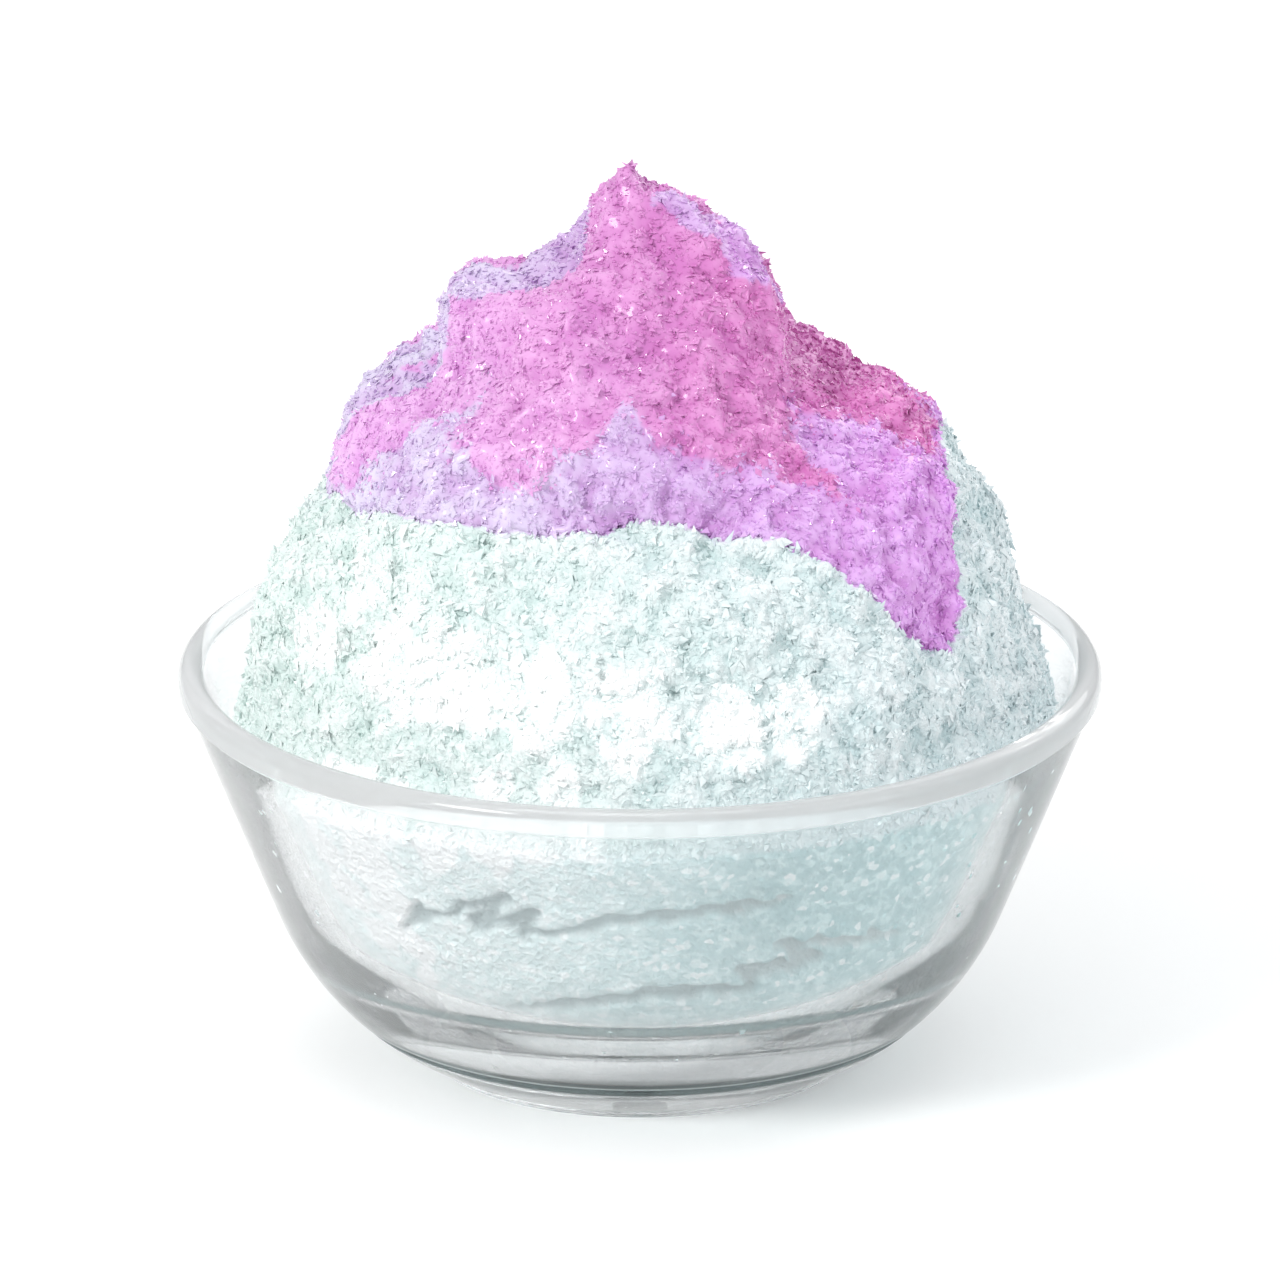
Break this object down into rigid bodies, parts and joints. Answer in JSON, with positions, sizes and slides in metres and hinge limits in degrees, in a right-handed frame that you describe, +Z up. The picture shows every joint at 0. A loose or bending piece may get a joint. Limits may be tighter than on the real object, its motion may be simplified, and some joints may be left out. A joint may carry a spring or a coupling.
{
  "type": "shaved ice dessert",
  "caption": "Peaked heap of shaved ice with a pink syrup-soaked top, filling a round clear glass bowl with a beaded lip.",
  "frame": {"origin": "centre of the bowl's foot, on the surface that it stands on", "axes": "+Z up along the bowl's axis, -Y towards the viewer of the picture, +X to that viewer's right"},
  "size_m": [0.14, 0.14, 0.1412],
  "materials": {
    "clear_glass": "clear, smooth and glossy",
    "white_ice": "fine wet ice flakes, slightly translucent",
    "pink_ice": "ice flakes soaked in pink syrup, moist"
  },
  "bodies": {
    "root": {"glass_bowl": "clear_glass", "shaved_ice": "white_ice", "syrup_soaked_ice": "pink_ice"}
  },
  "joints": []
}
